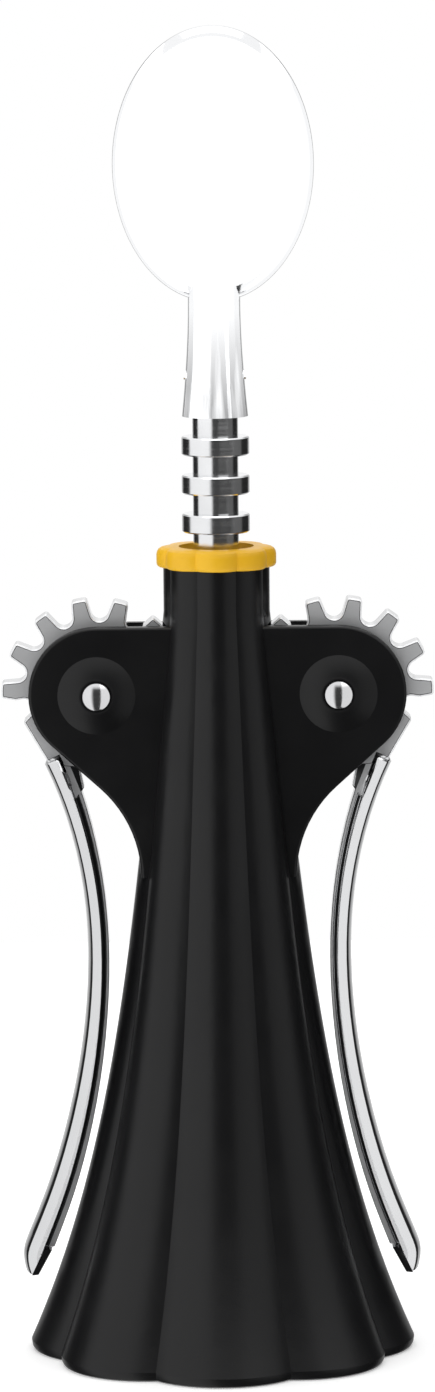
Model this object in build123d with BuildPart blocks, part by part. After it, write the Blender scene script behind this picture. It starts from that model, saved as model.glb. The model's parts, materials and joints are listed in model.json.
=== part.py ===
from build123d import *
import os
from math import cos, pi, radians, sin

# Wing corkscrew with a fluted bell body, two geared wing levers and a ringed rack.
# Millimetres and degrees.  +Z is up, the front faces -Y, the origin is the middle of the
# bell's foot, and the levers swing in the XZ plane.

# ---------------------------------------------------------------- driving dimensions
# Bell body
lobe_count = 8                  # flutes round the bell
foot_radius = 35.6              # crest of a flute at the foot
foot_lobe_depth = 3.4           # crest above crease at the foot
foot_round_radius = 1.8             # rounded rim under the bell
neck_radius = 9.75              # crest of a flute at the neck
neck_lobe_depth = 0.55
neck_start_rise = 15.1          # from the pins to where the neck runs straight up
neck_length = 8.0               # straight part of the neck
bell_cone_radius = 14.2               # share of the widening that is a straight cone
flare_power = 4                 # the rest of it grows with this power towards the foot
bell_wall = 2.0
crease_wall_extra = 0.2         # more wall behind the creases
ceiling_drop = 18.9             # from the pins down to the ceiling of the hollow bell
bell_section_count = 8          # sections that the bell is lofted through

# Lugs, two plates with a slot between them for each lever
pin_offset = 22.2               # pivot from the middle
pin_height = 122.9
lug_radius = 12.5
lug_thickness = 10.4            # both plates and the slot
lug_edge_round = 0.6
lug_foot_x = 14.3               # where the lower edge of a lug runs into the bell
lug_blend_radius = 22.4         # hollow curve under the lug
lug_blend_angle = 48.0
boss_radius = 7.15              # domed boss round each pin
boss_height = 1.9
boss_fullness = 0.74            # share of its height that a boss has half way out

# Levers
slot_clearance = 0.4            # each side of a lever plate
lever_thickness = 5.2
full_tooth_count = 14           # teeth in a full turn
tooth_count = 9                 # teeth on each sector
rack_pitch = 7.1
gear_tip_radius = 17.5
gear_root_radius = 13.5
hub_radius = 12.0               # blank part of the gear, behind the lug
gullet_radius = 1.6
gullet_flank_angle = 20.0
tooth_tip_round = 0.6
mesh_angle = 2.6                # the meshing tooth points this far below level
low_tooth_count = 1             # teeth below the meshing one
tip_clearance = 0.5             # gear tips to the floor of the slot
lug_clearance = 0.8             # wide part of the arm to the lug
# points of the left lever, measured from its pin
heel_corners = [(-12.2, -3.8), (-13.5, -5.1)]
web_corners = [(-4.0, -19.5), (-2.5, -17.4), (-3.3, -13.0)]      # web from arm to hub
# outer edge of the arm: how far out it is, at these shares of the way down to its end; the
# end is cut level at the tip
arm_tip_height = 14.85
arm_cut_off = 1.45
arm_offsets = [-9.1, -5.0, -1.7, -1.8, -5.3, -9.9, -13.05, -13.85, -13.75, -12.8]
arm_shares = [0.115, 0.211, 0.364, 0.533, 0.722, 0.858, 0.929, 0.952, 0.973, 1.0]
# the arm's lower part grows deeper: places along it and its depth there
arm_section_places = [0.0, 0.7, 0.93, 1.0]
arm_section_growths = [1.0, 1.0, 1.14, 1.16]
# thumb pad: how far out its outer and inner edges are at its top and at the tip
pad_height = 4.7
pad_top_edges = (-10.9, -9.3)
pad_tip_edges = (-13.1, -11.85)
pad_face_slope = 0.55            # each face falls back by this at the inner edge
arm_depth = 3.9                 # from the outer edge to the inner rim
arm_width = 12.0                # across the grip flange
arm_crown = 0.8                 # bulge of the grip's back
arm_bevel_depth = 1.5           # bevel along both sides of the grip
arm_bevel_width = 1.75
flange_thickness = 2.2          # from the outer edge
groove_width = 0.8              # groove beside the flange
groove_depth = 0.9

# Pins, bushes and caps
pin_radius = 2.0
pin_head_radius = 2.65
pin_head_rise = 0.7             # dome of the head
pin_head_depth = 0.9            # cylindrical part, sunk in the boss
pin_head_gap = 0.12
running_clearance = 0.05
lever_bush_radius = 3.2

# Collar and guide bush in the neck
collar_radius = 11.0
collar_lobe_depth = 1.0
collar_height = 3.8
collar_bore_radius = 6.9
collar_spigot_radius = 8.3
collar_spigot_depth = 2.7
collar_edge_round = 1.4         # round upper edge
collar_foot_round = 0.8         # round lower edge
bush_radius = 7.6
bush_length = 5.6
axial_clearance = 0.1
bore_clearance = 0.32           # rack to the bell's own bore

# Rack spindle
ring_radius = 6.23
ring_height = 3.4
ring_count = 8
ring_chamfer = 0.25
core_radius = 4.2
spindle_below_ceiling = 3.0     # lower end of the spindle under the bell's ceiling
stub_radius = 3.0               # turned stub inside the neck of the handle
stub_length = 14.0
lever_travel = 150.0            # degrees

# Turning handle
neck_foot_radius = 6.05
neck_waist_radius = 4.85
neck_waist_rise = 25.3          # from the neck's foot
neck_cup_radius = 5.4           # the neck widens again where it meets the oval
neck_cup_rise = 8.0             # from the waist
neck_in_oval = 12.5             # how far the neck reaches into the oval
oval_half_width = 18.4
oval_half_height = 25.2
oval_half_depth = 6.2
cross_pin_radius = 0.9
head_pin_rise = 7.5             # from the neck's foot
neck_pin_inset = 0.35           # pin ends inside the neck's foot radius

# Worm
worm_wire_radius = 1.5
worm_radius = 3.1               # middle of the wire
worm_pitch = 8.6
worm_coil_length = 34.0
worm_point_length = 5.0
worm_point_radius = 0.3
worm_shank_depth = 11.0         # in the spindle
worm_lead_length = 5.5          # from the coil back to the axis
worm_shoulder_drop = 3.5        # the wire is on the axis here, below the spindle's foot
worm_pin_radius = 0.75
worm_pin_rise = 6.0             # above the spindle's foot
worm_pin_inset = 0.05

# Stop ring at the spindle's foot
stop_radius = 7.7
stop_thickness = 1.2
stop_gap = 0.35                 # to the ceiling of the bell
stop_groove_depth = 0.6

# Bottle guide inside the bell
bottle_radius = 15.0
guide_wall = 1.2
guide_mouth = 14.0
guide_top = 53.5
seat_thickness = 2.0
seat_hole_radius = 9.0
guide_flange_thickness = 2.0
guide_flange_gap = 0.3
mouth_chamfer = 0.7
screw_count = 4
screw_radius = 1.25
screw_hole_clearance = 0.15
screw_head_gap = 0.4            # head to the guide's tube, and to the flange's edge
screw_head_radius = 2.4
screw_head_height = 1.5
screw_head_round = 0.5
screw_end_gap = 0.5
screw_slot_reach = 1.4
screw_slot_width = 0.6
screw_slot_depth = 0.9
screw_post_radius = 2.6
screw_post_seat = 0.9           # how far a post's outer side runs into the wall
screw_post_cap = 2.0            # plastic above the screw
cut_margin = 1.0                # how far cuts run past what they cut
match_margin = 0.01             # sizes this close count as equal

os.makedirs("parts", exist_ok=True)

# ---------------------------------------------------------------- worked-out sizes
lobe_angle = 360 / lobe_count
neck_start = pin_height + neck_start_rise
neck_top = neck_start + neck_length
cavity_top = pin_height - ceiling_drop
bell_flare = foot_radius - neck_radius - bell_cone_radius
tooth_angle = 360 / full_tooth_count
pitch_radius = rack_pitch * full_tooth_count / (2 * pi)
mesh_height = pin_height - pitch_radius * radians(mesh_angle)
slot_thickness = lever_thickness + 2 * slot_clearance
slot_radius = gear_tip_radius + tip_clearance
bore_radius = ring_radius + bore_clearance
lug_face = lug_thickness / 2
boss_face = lug_face + boss_height
collar_top = neck_top + collar_height
bush_top = neck_top - collar_spigot_depth - axial_clearance
bush_bottom = bush_top - bush_length
first_ring = mesh_height - rack_pitch / 2
neck_foot = first_ring + rack_pitch * ring_count - ring_height / 2
stop_top = cavity_top - stop_gap
head_dome_radius = (pin_head_radius**2 + pin_head_rise**2) / (2 * pin_head_rise)
spindle_foot = cavity_top - spindle_below_ceiling
neck_waist_height = neck_foot + neck_waist_rise
neck_cup_height = neck_waist_height + neck_cup_rise
oval_centre = neck_cup_height - neck_in_oval + oval_half_height
head_pin_height = neck_foot + head_pin_rise
worm_pin_height = spindle_foot + worm_pin_rise
worm_shoulder_height = spindle_foot - worm_shoulder_drop
worm_coil_top = worm_shoulder_height - worm_lead_length
worm_bottom = worm_coil_top - worm_coil_length
guide_radius = bottle_radius + guide_wall


def crest_radius(height):
    """Radius of the bell over the middle of a flute."""
    drop = max(0.0, (neck_start - height) / (neck_start - foot_round_radius))
    return neck_radius + bell_cone_radius * drop + bell_flare * drop**flare_power


def lobe_depth(height):
    """How far a flute's crest stands above the creases beside it."""
    share = (crest_radius(height) - neck_radius) / (foot_radius - neck_radius)
    return neck_lobe_depth + (foot_lobe_depth - neck_lobe_depth) * share


def inner_crease(height):
    """Radius inside the bell at its creases."""
    return crest_radius(height) - bell_wall - lobe_depth(height) - crease_wall_extra


def height_where(radius_at, radius):
    """Height at which one of the bell's radii has this value."""
    low, high = 0.0, neck_start
    for _ in range(50):
        middle = (low + high) / 2
        if radius_at(middle) > radius:
            low = middle
        else:
            high = middle
    return low


def polar(radius, angle):
    return (radius * cos(radians(angle)), radius * sin(radians(angle)))


def lobed_section(height, crest, depth):
    """A closed ring of arcs, one for each flute, with creases between them."""
    with BuildSketch(Plane.XY.offset(height)) as section:
        with BuildLine():
            for lobe in range(lobe_count):
                middle = lobe * lobe_angle
                ThreePointArc(
                    polar(crest - depth, middle - lobe_angle / 2),
                    polar(crest, middle),
                    polar(crest - depth, middle + lobe_angle / 2),
                )
        make_face()
    return section.sketch.face()


def bell_section(height, inset=0.0, crease_inset=0.0):
    depth = lobe_depth(height) + crease_inset
    return lobed_section(height, crest_radius(height) - inset, depth)


def stepped_heights(low, high, count):
    return [low + (high - low) * step / (count - 1) for step in range(count)]


# The guide's flange sits where the bell is wide enough for the screws' heads, and each
# screw's post runs up until it is seated in the wall.
screw_circle = guide_radius + screw_head_gap + screw_head_radius
flange_radius = screw_circle + screw_head_radius + screw_head_gap
flange_top = height_where(inner_crease, flange_radius + guide_flange_gap)
guide_flange_height = flange_top - guide_flange_thickness
post_top = height_where(
    crest_radius, screw_circle + screw_post_radius - screw_post_seat + bell_wall
)
screw_depth = post_top - flange_top - screw_post_cap

arm_drop = pin_height - arm_tip_height + arm_cut_off
arm_points = [(offset, -arm_drop * share) for offset, share in zip(arm_offsets, arm_shares)]
pad_rows = [(arm_tip_height, pad_tip_edges), (arm_tip_height + pad_height, pad_top_edges)]


def y_axis_at(x, z):
    return Axis(origin=(x, 0, z), direction=(0, 1, 0))


def y_plane_at(x, z):
    """A plane whose own Y runs along the part's Y, through (x, z)."""
    return Plane(origin=(x, 0, z), x_dir=(1, 0, 0), z_dir=(0, 0, 1))


# ---------------------------------------------------------------- bell body
# Edge of a lug plate: round the pin, then a straight run down and a hollow curve into
# the bell, tangent all the way.
blend_cos = cos(radians(lug_blend_angle))
blend_sin = sin(radians(lug_blend_angle))
round_end = (pin_offset + lug_radius * blend_cos, pin_height - lug_radius * blend_sin)
hollow_start_x = lug_foot_x + lug_blend_radius * (1 - blend_cos)
straight_run = (round_end[0] - hollow_start_x) / blend_sin
hollow_start = (hollow_start_x, round_end[1] - straight_run * blend_cos)
lug_foot_z = hollow_start[1] - lug_blend_radius * blend_sin
lug_foot_end = (lug_foot_x, lug_foot_z)
half_turn = radians(lug_blend_angle / 2)
hollow_middle = (
    lug_foot_x + lug_blend_radius * (1 - cos(half_turn)),
    lug_foot_z + lug_blend_radius * sin(half_turn),
)
lug_top = (pin_offset, pin_height + lug_radius)
lug_side = (pin_offset + lug_radius, pin_height)

with BuildPart() as skirt_body:
    # both lug plates, as one plate through the bell
    with BuildSketch(Plane.XZ):
        with BuildLine():
            Line((0, lug_top[1]), lug_top)
            ThreePointArc(lug_top, lug_side, round_end)
            Line(round_end, hollow_start)
            ThreePointArc(hollow_start, hollow_middle, lug_foot_end)
            Line(lug_foot_end, (0, lug_foot_z))
            Line((0, lug_foot_z), (0, lug_top[1]))
        make_face()
        mirror(about=Plane.YZ)
    extrude(amount=lug_thickness / 2, both=True)
    face_edges = skirt_body.edges().group_by(Axis.Y)
    rim_edges = (face_edges[0] + face_edges[-1]).filter_by_position(
        Axis.Z, lug_foot_z + lug_edge_round, lug_top[1] + lug_edge_round
    )
    fillet(rim_edges, lug_edge_round)
    # domed bosses on both faces of each lug
    for side in (-1, 1):
        with BuildSketch(y_plane_at(side * pin_offset, pin_height)):
            with BuildLine():
                ThreePointArc(
                    (0, -boss_face),
                    (boss_radius / 2, -lug_face - boss_height * boss_fullness),
                    (boss_radius, -lug_face),
                )
                Line((boss_radius, -lug_face), (boss_radius, lug_face))
                ThreePointArc(
                    (boss_radius, lug_face),
                    (boss_radius / 2, lug_face + boss_height * boss_fullness),
                    (0, boss_face),
                )
                Line((0, boss_face), (0, -boss_face))
            make_face()
        revolve(axis=y_axis_at(side * pin_offset, pin_height))
    # fluted bell and its straight neck
    loft([bell_section(height) for height in stepped_heights(foot_round_radius, neck_start,
                                                             bell_section_count)])
    loft([bell_section(neck_start), bell_section(neck_top)], ruled=True)
    foot_steps = [(0.0, 0.5), (0.15, 0.25), (0.45, 0.07), (1.0, 0.0)]
    loft(
        [
            lobed_section(
                foot_round_radius * share,
                crest_radius(foot_round_radius) - foot_round_radius * inset,
                lobe_depth(foot_round_radius),
            )
            for share, inset in foot_steps
        ],
        ruled=True,
    )
    # hollow inside
    loft(
        [
            bell_section(height, bell_wall, crease_wall_extra)
            for height in stepped_heights(foot_round_radius, cavity_top, bell_section_count)
        ],
        mode=Mode.SUBTRACT,
    )
    extrude(
        bell_section(foot_round_radius, bell_wall, crease_wall_extra),
        amount=-2 * foot_round_radius,
        mode=Mode.SUBTRACT,
    )
    # posts for the guide's screws
    with BuildSketch(Plane.XY.offset(flange_top)):
        with PolarLocations(screw_circle, screw_count, start_angle=lobe_angle):
            Circle(screw_post_radius)
    extrude(amount=post_top - flange_top)
    with BuildSketch(Plane.XY.offset(flange_top)):
        with PolarLocations(screw_circle, screw_count, start_angle=lobe_angle):
            Circle(screw_radius)
    extrude(amount=screw_depth, mode=Mode.SUBTRACT)
    # bore for the rack, and the wider seats for the bush and the collar's spigot
    with BuildSketch(Plane.XY.offset(cavity_top - cut_margin)):
        Circle(bore_radius)
    extrude(amount=neck_top - cavity_top + 2 * cut_margin, mode=Mode.SUBTRACT)
    with BuildSketch(Plane.XY.offset(neck_top)):
        Circle(bush_radius + running_clearance)
    extrude(amount=-(neck_top - bush_bottom + axial_clearance), mode=Mode.SUBTRACT)
    with BuildSketch(Plane.XY.offset(neck_top)):
        Circle(collar_spigot_radius)
    extrude(amount=-collar_spigot_depth, mode=Mode.SUBTRACT)
    # slots for the gear sectors, and the holes for their pins
    for side in (-1, 1):
        with BuildSketch(Plane.XZ):
            with Locations((side * pin_offset, pin_height)):
                Circle(slot_radius)
        extrude(amount=slot_thickness / 2, both=True, mode=Mode.SUBTRACT)
        with BuildSketch(Plane.XZ):
            with Locations((side * pin_offset, pin_height)):
                Circle(pin_radius)
        extrude(amount=boss_face + cut_margin, both=True, mode=Mode.SUBTRACT)
        for face in (-1, 1):
            with BuildSketch(Plane.XZ.offset(face * (boss_face + pin_head_depth))):
                with Locations((side * pin_offset, pin_height)):
                    Circle(pin_head_radius + pin_head_gap)
            extrude(amount=-2 * face * pin_head_depth, mode=Mode.SUBTRACT)
skirt_body.part.label = "skirt_body"
export_step(skirt_body.part, "parts/skirt_body.step")


# ---------------------------------------------------------------- levers
def radial(angle, radius):
    """A point about the left pin; the angle runs from straight up towards the middle."""
    return (radius * sin(radians(angle)), radius * cos(radians(angle)))


left_pin = Plane(origin=(-pin_offset, 0, pin_height), x_dir=(1, 0, 0), z_dir=(0, -1, 0))
first_tooth = 90 + mesh_angle + low_tooth_count * tooth_angle
last_tooth = first_tooth - (tooth_count - 1) * tooth_angle
blank_start = first_tooth + tooth_angle / 2
blank_end = last_tooth - tooth_angle / 2 + 360
mouth_offset = gear_tip_radius - gear_root_radius + gullet_radius
mouth_radius = gullet_radius + mouth_offset * sin(radians(gullet_flank_angle))

with BuildSketch() as gullet:
    with Locations((0, gear_root_radius + gullet_radius)):
        Circle(gullet_radius)
    with Locations((0, gear_root_radius + gullet_radius + mouth_offset)):
        Circle(mouth_radius)
    make_hull()

# the sector's two ends run down to the hub
with BuildSketch() as end_gullet:
    for floor_radius in (gear_root_radius, hub_radius):
        with Locations((0, floor_radius + gullet_radius)):
            Circle(gullet_radius)
    make_hull()

with BuildPart() as lever_left:
    # toothed sector and hub
    with BuildSketch(left_pin) as sector:
        Circle(gear_tip_radius)
        far = 2 * gear_tip_radius
        blank_angles = [blank_start + (blank_end - blank_start) * share for share in (0, 0.5, 1)]
        with BuildLine():
            Polyline((0, 0), *[radial(angle, far) for angle in blank_angles], close=True)
        make_face(mode=Mode.SUBTRACT)
        Circle(hub_radius)
        for gap in range(tooth_count + 1):
            angle = first_tooth + tooth_angle * (0.5 - gap)
            with Locations(Location((0, 0, 0), (0, 0, -angle))):
                add(gullet.sketch, mode=Mode.SUBTRACT)
                if gap in (0, tooth_count):
                    add(end_gullet.sketch, mode=Mode.SUBTRACT)
        tips = [
            corner
            for corner in sector.vertices()
            if abs(Vector(*corner).length - gear_tip_radius) < match_margin
        ]
        fillet(tips, tooth_tip_round)
    extrude(amount=lever_thickness / 2, both=True)
    # heel and web from the hub to the arm
    with BuildSketch(left_pin):
        with BuildLine():
            Polyline((0, 0), *heel_corners, arm_points[0], *web_corners, close=True)
        make_face()
    extrude(amount=lever_thickness / 2, both=True)
    # arm: a grip flange with a crowned back and bevelled sides, a groove on each face, and
    # a rim in the plane of the gear
    with BuildLine(left_pin) as arm_path:
        Spline(*arm_points)
    for place, growth in zip(arm_section_places, arm_section_growths):
        across = Plane(
            origin=arm_path.line @ place, x_dir=(0, -1, 0), z_dir=arm_path.line % place
        )
        with BuildSketch(across):
            grip_half = arm_width / 2
            crown_half = grip_half - arm_bevel_depth
            rim_half = lever_thickness / 2
            groove_half = rim_half - groove_depth
            flange_end = flange_thickness * growth
            groove_end = flange_end + groove_width
            rim_end = arm_depth * growth
            with BuildLine():
                ThreePointArc((-crown_half, 0), (0, arm_crown), (crown_half, 0))
                Polyline(
                    (crown_half, 0),
                    (grip_half, -arm_bevel_width),
                    (grip_half, -flange_end),
                    (groove_half, -flange_end),
                    (groove_half, -groove_end),
                    (rim_half, -groove_end),
                    (rim_half, -rim_end),
                    (-rim_half, -rim_end),
                    (-rim_half, -groove_end),
                    (-groove_half, -groove_end),
                    (-groove_half, -flange_end),
                    (-grip_half, -flange_end),
                    (-grip_half, -arm_bevel_width),
                    (-crown_half, 0),
                )
            make_face()
    sweep(path=arm_path.line, multisection=True)
    # thumb pad let into the grip's end, its faces turned a little towards the bell
    pad_outers = [(outer, height - pin_height) for height, (outer, inner) in pad_rows]
    pad_inners = [(inner, height - pin_height) for height, (outer, inner) in pad_rows]
    with BuildSketch(left_pin):
        with BuildLine():
            Polyline(
                pad_outers[1],
                (pad_outers[1][0] + 2 * arm_depth, pad_outers[1][1]),
                (pad_outers[1][0] + 2 * arm_depth, pad_outers[0][1] - arm_depth),
                (pad_outers[0][0], pad_outers[0][1] - arm_depth),
                pad_outers[0],
                close=True,
            )
        make_face()
    extrude(amount=arm_width, both=True, mode=Mode.SUBTRACT)
    for height, (outer, inner) in pad_rows:
        with BuildSketch(Plane.XY.offset(height)):
            with BuildLine():
                Polyline(
                    (outer - pin_offset, -grip_half),
                    (inner - pin_offset, pad_face_slope - grip_half),
                    (inner - pin_offset, grip_half - pad_face_slope),
                    (outer - pin_offset, grip_half),
                    close=True,
                )
            make_face()
    loft(ruled=True)
    # the rim stops at the pad's leaning inner edge, and the end is cut level
    with BuildSketch(left_pin):
        with BuildLine():
            Polyline(
                pad_inners[1],
                (pad_inners[1][0] + arm_depth, pad_inners[1][1]),
                (pad_inners[1][0] + arm_depth, pad_inners[0][1] - arm_depth),
                (arm_offsets[-2] - arm_depth, pad_inners[0][1] - arm_depth),
                (arm_offsets[-2] - arm_depth, pad_inners[0][1]),
                pad_inners[0],
                close=True,
            )
        make_face()
    extrude(amount=arm_width, both=True, mode=Mode.SUBTRACT)
    # the wide part keeps clear of the round lug
    for face in (-1, 1):
        with BuildSketch(left_pin.offset(face * lever_thickness / 2)):
            Circle(lug_radius + lug_clearance)
        extrude(amount=face * arm_width, mode=Mode.SUBTRACT)
    # hole for the bush
    with BuildSketch(left_pin):
        Circle(lever_bush_radius)
    extrude(amount=lever_thickness, both=True, mode=Mode.SUBTRACT)
lever_left.part.label = "lever_left"
export_step(lever_left.part, "parts/lever_left.step")

with BuildPart() as lever_right:
    add(lever_left.part.rotate(Axis.Z, 180))
lever_right.part.label = "lever_right"
export_step(lever_right.part, "parts/lever_right.step")


def lever_bush(side):
    """Sleeve pressed in a lever; it runs on the pin and spaces the lever in its slot."""
    with BuildPart() as bush:
        with BuildSketch(Plane.XZ):
            with Locations((side * pin_offset, pin_height)):
                Circle(lever_bush_radius)
                Circle(pin_radius + running_clearance, mode=Mode.SUBTRACT)
        extrude(amount=slot_thickness / 2 - axial_clearance, both=True)
    return bush.part


def pivot_pin(side):
    """Pin with a domed head in the front boss; its far end carries the cap."""
    seat = boss_face - pin_head_depth
    with BuildPart() as pin:
        with BuildSketch(y_plane_at(side * pin_offset, pin_height)):
            with BuildLine():
                Line((0, seat + pin_head_depth), (pin_radius, seat + pin_head_depth))
                Line((pin_radius, seat + pin_head_depth), (pin_radius, -seat))
                Line((pin_radius, -seat), (pin_head_radius, -seat))
                Line((pin_head_radius, -seat), (pin_head_radius, -boss_face))
                RadiusArc(
                    (pin_head_radius, -boss_face),
                    (0, -boss_face - pin_head_rise),
                    head_dome_radius,
                )
                Line((0, -boss_face - pin_head_rise), (0, seat + pin_head_depth))
            make_face()
        revolve(axis=y_axis_at(side * pin_offset, pin_height))
    return pin.part


def pin_cap(side):
    """Domed cap pushed on the pin's far end, sunk in the rear boss."""
    seat = boss_face - pin_head_depth
    with BuildPart() as cap:
        with BuildSketch(y_plane_at(side * pin_offset, pin_height)):
            with BuildLine():
                Line((0, boss_face), (pin_radius, boss_face))
                Line((pin_radius, boss_face), (pin_radius, seat))
                Line((pin_radius, seat), (pin_head_radius, seat))
                Line((pin_head_radius, seat), (pin_head_radius, boss_face))
                RadiusArc(
                    (pin_head_radius, boss_face),
                    (0, boss_face + pin_head_rise),
                    -head_dome_radius,
                )
                Line((0, boss_face + pin_head_rise), (0, boss_face))
            make_face()
        revolve(axis=y_axis_at(side * pin_offset, pin_height))
    return cap.part


for side, name in ((-1, "left"), (1, "right")):
    for piece, label in (
        (lever_bush(side), f"lever_bush_{name}"),
        (pivot_pin(side), f"pivot_pin_{name}"),
        (pin_cap(side), f"pin_cap_{name}"),
    ):
        piece.label = label
        export_step(piece, f"parts/{label}.step")

# ---------------------------------------------------------------- collar and guide bush
with BuildPart() as top_collar:
    edge_steps = [(0.0, 0.0), (0.38, 0.08), (0.71, 0.29), (0.92, 0.62), (1.0, 1.0)]
    lower_edge = neck_top + collar_foot_round
    upper_edge = collar_top - collar_edge_round
    loft(
        [
            lobed_section(
                lower_edge - collar_foot_round * drop,
                collar_radius - collar_foot_round * inset,
                collar_lobe_depth,
            )
            for drop, inset in reversed(edge_steps)
        ]
        + [
            lobed_section(
                upper_edge + collar_edge_round * rise,
                collar_radius - collar_edge_round * inset,
                collar_lobe_depth,
            )
            for rise, inset in edge_steps
        ],
        ruled=True,
    )
    with BuildSketch(Plane.XY.offset(neck_top)):
        Circle(collar_spigot_radius)
    extrude(amount=-collar_spigot_depth)
    with BuildSketch(Plane.XY.offset(collar_top)):
        Circle(collar_bore_radius)
    extrude(amount=-2 * (collar_height + collar_spigot_depth), mode=Mode.SUBTRACT)
top_collar.part.label = "top_collar"
export_step(top_collar.part, "parts/top_collar.step")

with BuildPart() as guide_bush:
    with BuildSketch(Plane.XY.offset(bush_bottom)):
        Circle(bush_radius)
        Circle(ring_radius + running_clearance, mode=Mode.SUBTRACT)
    extrude(amount=bush_length)
guide_bush.part.label = "guide_bush"
export_step(guide_bush.part, "parts/guide_bush.step")

# ---------------------------------------------------------------- rack spindle
with BuildPart() as rack_spindle:
    with BuildSketch(Plane.XY.offset(spindle_foot)):
        Circle(core_radius)
    extrude(amount=neck_foot - spindle_foot)
    with BuildSketch(Plane.XY.offset(neck_foot)):
        Circle(stub_radius)
    extrude(amount=stub_length)
    with BuildSketch(Plane.XZ):
        for ring in range(ring_count):
            with Locations((ring_radius / 2, first_ring + rack_pitch * ring)):
                Rectangle(ring_radius, ring_height)
    revolve(axis=Axis.Z)
    ring_edges = [
        edge
        for edge in rack_spindle.edges().filter_by(GeomType.CIRCLE)
        if abs(edge.radius - ring_radius) < match_margin
    ]
    chamfer(ring_edges, ring_chamfer)
    # blind hole for the worm's shank, and the hole for its pin
    with BuildSketch(Plane.XY.offset(spindle_foot)):
        Circle(worm_wire_radius)
    extrude(amount=worm_shank_depth, mode=Mode.SUBTRACT)
    with BuildSketch(Plane.XZ):
        with Locations((0, worm_pin_height)):
            Circle(worm_pin_radius)
    extrude(amount=core_radius + cut_margin, both=True, mode=Mode.SUBTRACT)
    # hole for the handle's pin, and the groove for the stop ring
    with BuildSketch(Plane.YZ):
        with Locations((0, head_pin_height)):
            Circle(cross_pin_radius)
    extrude(amount=stub_radius + cut_margin, both=True, mode=Mode.SUBTRACT)
    with BuildSketch(Plane.XY.offset(stop_top)):
        Circle(core_radius + cut_margin)
        Circle(core_radius - stop_groove_depth, mode=Mode.SUBTRACT)
    extrude(amount=-stop_thickness, mode=Mode.SUBTRACT)
rack_spindle.part.label = "rack_spindle"
export_step(rack_spindle.part, "parts/rack_spindle.step")

with BuildPart() as stop_ring:
    with BuildSketch(Plane.XY.offset(stop_top)):
        Circle(stop_radius)
        Circle(core_radius - stop_groove_depth, mode=Mode.SUBTRACT)
    extrude(amount=-stop_thickness)
stop_ring.part.label = "stop_ring"
export_step(stop_ring.part, "parts/stop_ring.step")

# ---------------------------------------------------------------- turning handle
with BuildPart() as turning_head:
    with BuildSketch(Plane.XZ):
        with BuildLine():
            Line((0, neck_foot), (neck_foot_radius, neck_foot))
            Spline(
                (neck_foot_radius, neck_foot),
                (neck_waist_radius, neck_waist_height),
                (neck_cup_radius, neck_cup_height),
                tangents=[(-0.1, 1), (0.12, 1)],
            )
            Line((neck_cup_radius, neck_cup_height), (0, neck_cup_height))
            Line((0, neck_cup_height), (0, neck_foot))
        make_face()
    revolve(axis=Axis.Z)
    ball = Sphere(1, mode=Mode.PRIVATE)
    oval = scale(
        ball, by=(oval_half_width, oval_half_depth, oval_half_height), mode=Mode.PRIVATE
    )
    add(oval.moved(Location((0, 0, oval_centre))))
    with BuildSketch(Plane.XY.offset(neck_foot)):
        Circle(stub_radius)
    extrude(amount=stub_length, mode=Mode.SUBTRACT)
    with BuildSketch(Plane.YZ):
        with Locations((0, head_pin_height)):
            Circle(cross_pin_radius)
    extrude(amount=2 * neck_foot_radius, both=True, mode=Mode.SUBTRACT)
turning_head.part.label = "turning_head"
export_step(turning_head.part, "parts/turning_head.step")

with BuildPart() as head_pin:
    with BuildSketch(Plane.YZ):
        with Locations((0, head_pin_height)):
            Circle(cross_pin_radius)
    extrude(amount=neck_foot_radius - neck_pin_inset, both=True)
head_pin.part.label = "head_pin"
export_step(head_pin.part, "parts/head_pin.step")

# ---------------------------------------------------------------- worm
point_turn = 360 * worm_point_length / worm_pitch

with BuildPart() as worm:
    with BuildLine() as coil:
        Helix(worm_pitch, worm_coil_top - worm_bottom, worm_radius, center=(0, 0, worm_bottom))
    with BuildSketch(Plane(origin=coil.line @ 0, z_dir=coil.line % 0)) as wire_section:
        Circle(worm_wire_radius)
    sweep(path=coil.line, is_frenet=True)
    # from the coil back to the axis, then the straight shank
    with BuildLine() as lead:
        Spline(
            coil.line @ 1,
            (0, 0, worm_shoulder_height),
            tangents=[coil.line % 1, (0, 0, 1)],
        )
        Line((0, 0, worm_shoulder_height), (0, 0, spindle_foot + worm_shank_depth))
    with BuildSketch(Plane(origin=coil.line @ 1, z_dir=coil.line % 1)):
        Circle(worm_wire_radius)
    sweep(path=lead.wires()[0])
    # the point follows the same coil
    with BuildLine() as point:
        add(
            Helix(
                worm_pitch,
                worm_point_length,
                worm_radius,
                center=(0, 0, worm_bottom - worm_point_length),
                mode=Mode.PRIVATE,
            ).rotate(Axis.Z, -point_turn)
        )
    with BuildSketch(Plane(origin=point.line @ 0, z_dir=point.line % 0)) as point_section:
        Circle(worm_point_radius)
    sweep(
        sections=[point_section.sketch, wire_section.sketch],
        path=point.line,
        multisection=True,
        is_frenet=True,
    )
    # hole for the cross pin
    with BuildSketch(Plane.XZ):
        with Locations((0, worm_pin_height)):
            Circle(worm_pin_radius)
    extrude(amount=core_radius, both=True, mode=Mode.SUBTRACT)
worm.part.label = "worm"
export_step(worm.part, "parts/worm.step")

with BuildPart() as worm_pin:
    with BuildSketch(Plane.XZ):
        with Locations((0, worm_pin_height)):
            Circle(worm_pin_radius)
    extrude(amount=core_radius - worm_pin_inset, both=True)
worm_pin.part.label = "worm_pin"
export_step(worm_pin.part, "parts/worm_pin.step")

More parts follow.
